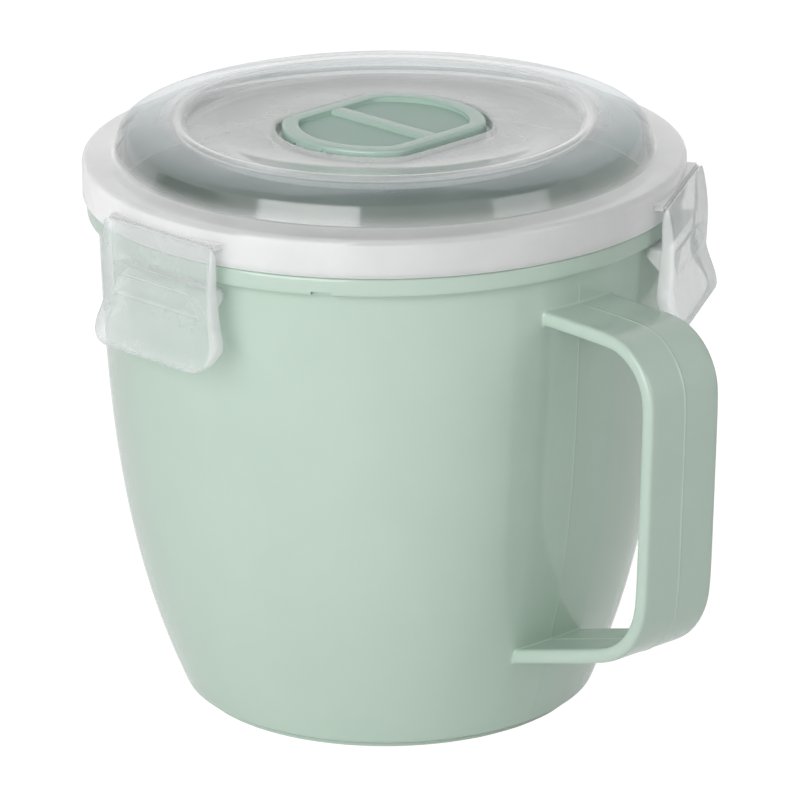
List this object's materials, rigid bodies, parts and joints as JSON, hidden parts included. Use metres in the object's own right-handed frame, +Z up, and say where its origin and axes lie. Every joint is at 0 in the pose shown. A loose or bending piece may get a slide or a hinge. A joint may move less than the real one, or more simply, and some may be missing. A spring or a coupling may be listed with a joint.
{
  "type": "lidded_soup_mug",
  "caption": "Lidded soup mug: green plastic mug with a strap handle, clear clip-on lid with hinged clips, seal ring and flip-up steam vent",
  "frame": {"origin": "centre of the flat foot that the mug stands on", "axes": "+X out through the handle, +Y to the left seen from above with the handle away, +Z up through the lid"},
  "size_m": [0.1577, 0.1312, 0.1243],
  "materials": {
    "mug_plastic": "pale green moulded polypropylene, soft gloss",
    "clear_plastic": "clear, slightly milky moulded plastic, glossy",
    "frosted_plastic": "milky translucent moulded polypropylene, satin",
    "seal_silicone": "white silicone, matt",
    "vent_plastic": "green moulded polypropylene, satin",
    "stopper_silicone": "grey silicone, matt"
  },
  "bodies": {
    "mug": {"mug_body": "mug_plastic"},
    "lid": {"lid_shell": "clear_plastic", "lid_seal": "seal_silicone"},
    "clip_front": {"clip_front": "frosted_plastic", "clip_hinge_front": "frosted_plastic"},
    "clip_side": {"clip_side": "frosted_plastic", "clip_hinge_side": "frosted_plastic"},
    "clip_back": {"clip_back": "frosted_plastic", "clip_hinge_back": "frosted_plastic"},
    "vent": {"vent_flap": "vent_plastic", "vent_stopper": "stopper_silicone"}
  },
  "joints": [
    {"name": "lid_lift", "type": "slide", "parent": "mug", "child": "lid", "axis": [0, 0, 1], "range_m": [0, 0.008]},
    {"name": "clip_front_hinge", "type": "hinge", "parent": "lid", "child": "clip_front", "pos_m": [0.00383, -0.06258, 0.1134], "axis": [-0.9981, -0.061, 0], "range_deg": [0, 105], "deforming": ["clip_hinge_front"]},
    {"name": "clip_side_hinge", "type": "hinge", "parent": "lid", "child": "clip_side", "pos_m": [0.05228, 0.03461, 0.1134], "axis": [0.5519, -0.8339, 0], "range_deg": [0, 105], "deforming": ["clip_hinge_side"]},
    {"name": "clip_back_hinge", "type": "hinge", "parent": "lid", "child": "clip_back", "pos_m": [-0.05611, 0.02798, 0.1134], "axis": [0.4462, 0.8949, 0], "range_deg": [0, 105], "deforming": ["clip_hinge_back"]},
    {"name": "vent_flap_hinge", "type": "hinge", "parent": "lid", "child": "vent", "pos_m": [0.00125, -0.02036, 0.1209], "axis": [0.9981, 0.061, 0], "range_deg": [0, 65]}
  ],
  "couplings": [
    {"joint": "clip_front_hinge", "follows": "lid_lift", "rad_per_m": 229},
    {"joint": "clip_side_hinge", "follows": "lid_lift", "rad_per_m": 229},
    {"joint": "clip_back_hinge", "follows": "lid_lift", "rad_per_m": 229}
  ]
}
